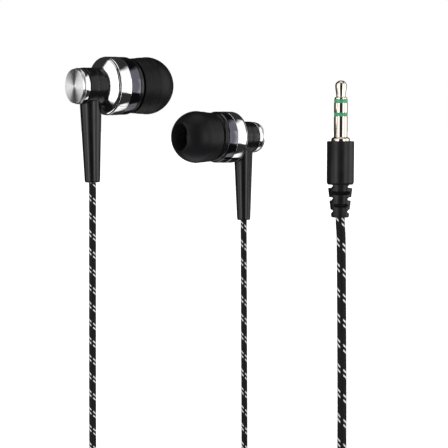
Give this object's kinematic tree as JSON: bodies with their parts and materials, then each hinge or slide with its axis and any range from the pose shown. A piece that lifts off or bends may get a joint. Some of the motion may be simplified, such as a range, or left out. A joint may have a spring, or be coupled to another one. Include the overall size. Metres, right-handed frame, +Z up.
{
  "type": "wired earphones",
  "caption": "In-ear wired earphones with metal housings, silicone tips, braided cords and a 3.5 mm stereo plug.",
  "frame": {"origin": "the wearer's head, between the two earbuds", "axes": "+Z up, along the plug's pin; the left earbud is toward -X and -Y, and the right one toward +X and +Y"},
  "size_m": [0.074, 0.0706, 0.1138],
  "materials": {
    "spun_aluminium": "turned end face with fine concentric lines",
    "chrome_trim": "polished plating",
    "black_chrome": "polished dark plating",
    "satin_black_plastic": "satin moulded",
    "black_silicone": "soft satin silicone",
    "black_gasket": "matt",
    "steel_mesh": "fine perforated disc",
    "damping_foam": "open foam",
    "driver_steel": "zinc-plated",
    "driver_frame_plastic": "moulded",
    "clear_film": "thin formed film",
    "copper_wire": "enamelled copper",
    "magnet_alloy": "nickel-plated magnet",
    "circuit_board": "solder mask",
    "nickel_contact": "warm nickel plating",
    "green_insulator": "moulded ring",
    "moulded_pvc": "satin moulded",
    "braided_cord": "black braid with white tracer threads",
    "black_wire_tie": "plastic-covered wire"
  },
  "bodies": {
    "earphones": {"left_cap_disc": "spun_aluminium", "left_cap_ring": "chrome_trim", "left_collar": "satin_black_plastic", "left_stem": "satin_black_plastic", "left_rear_shell": "chrome_trim", "left_seam_ring": "black_gasket", "left_chrome_band": "chrome_trim", "left_front_band": "black_chrome", "left_front_shell": "satin_black_plastic", "left_nozzle_mesh": "steel_mesh", "left_nozzle_foam": "damping_foam", "left_driver_gasket": "black_gasket", "left_driver_cover": "driver_steel", "left_driver_frame": "driver_frame_plastic", "left_pole_plate": "driver_steel", "left_magnet": "magnet_alloy", "left_yoke": "driver_steel", "left_terminal_board": "circuit_board", "left_lead_wires": "copper_wire", "left_cord_crimp": "driver_steel", "right_cap_disc": "spun_aluminium", "right_cap_ring": "chrome_trim", "right_collar": "satin_black_plastic", "right_stem": "satin_black_plastic", "right_rear_shell": "chrome_trim", "right_seam_ring": "black_gasket", "right_chrome_band": "chrome_trim", "right_front_band": "black_chrome", "right_front_shell": "satin_black_plastic", "right_nozzle_mesh": "steel_mesh", "right_nozzle_foam": "damping_foam", "right_driver_gasket": "black_gasket", "right_driver_cover": "driver_steel", "right_driver_frame": "driver_frame_plastic", "right_pole_plate": "driver_steel", "right_magnet": "magnet_alloy", "right_yoke": "driver_steel", "right_terminal_board": "circuit_board", "right_lead_wires": "copper_wire", "right_cord_crimp": "driver_steel", "plug_tip_contact": "nickel_contact", "plug_ring_contact": "nickel_contact", "plug_sleeve_contact": "nickel_contact", "plug_insulators": "green_insulator", "plug_solder_lugs": "nickel_contact", "plug_grip": "moulded_pvc", "splitter_sleeve": "moulded_pvc", "splitter_crimp": "driver_steel", "left_cord": "braided_cord", "right_cord": "braided_cord", "main_cord": "braided_cord", "main_coil": "braided_cord", "coil_tie": "black_wire_tie"},
    "left_tip": {"left_ear_tip": "black_silicone"},
    "left_membrane": {"left_diaphragm": "clear_film", "left_voice_coil": "copper_wire"},
    "right_tip": {"right_ear_tip": "black_silicone"},
    "right_membrane": {"right_diaphragm": "clear_film", "right_voice_coil": "copper_wire"}
  },
  "joints": [
    {"name": "left_tip_pull_off", "type": "slide", "parent": "earphones", "child": "left_tip", "axis": [0.7798, 0.6258, 0.0157], "range_m": [0, 0.009]},
    {"name": "left_membrane_travel", "type": "slide", "parent": "earphones", "child": "left_membrane", "axis": [0.7798, 0.6258, 0.0157], "range_m": [-0.0002, 0.0002], "stiffness_N_per_m": 100},
    {"name": "right_tip_pull_off", "type": "slide", "parent": "earphones", "child": "right_tip", "axis": [-0.7933, -0.6087, 0.0157], "range_m": [0, 0.009]},
    {"name": "right_membrane_travel", "type": "slide", "parent": "earphones", "child": "right_membrane", "axis": [-0.7933, -0.6087, 0.0157], "range_m": [-0.0002, 0.0002], "stiffness_N_per_m": 100}
  ]
}
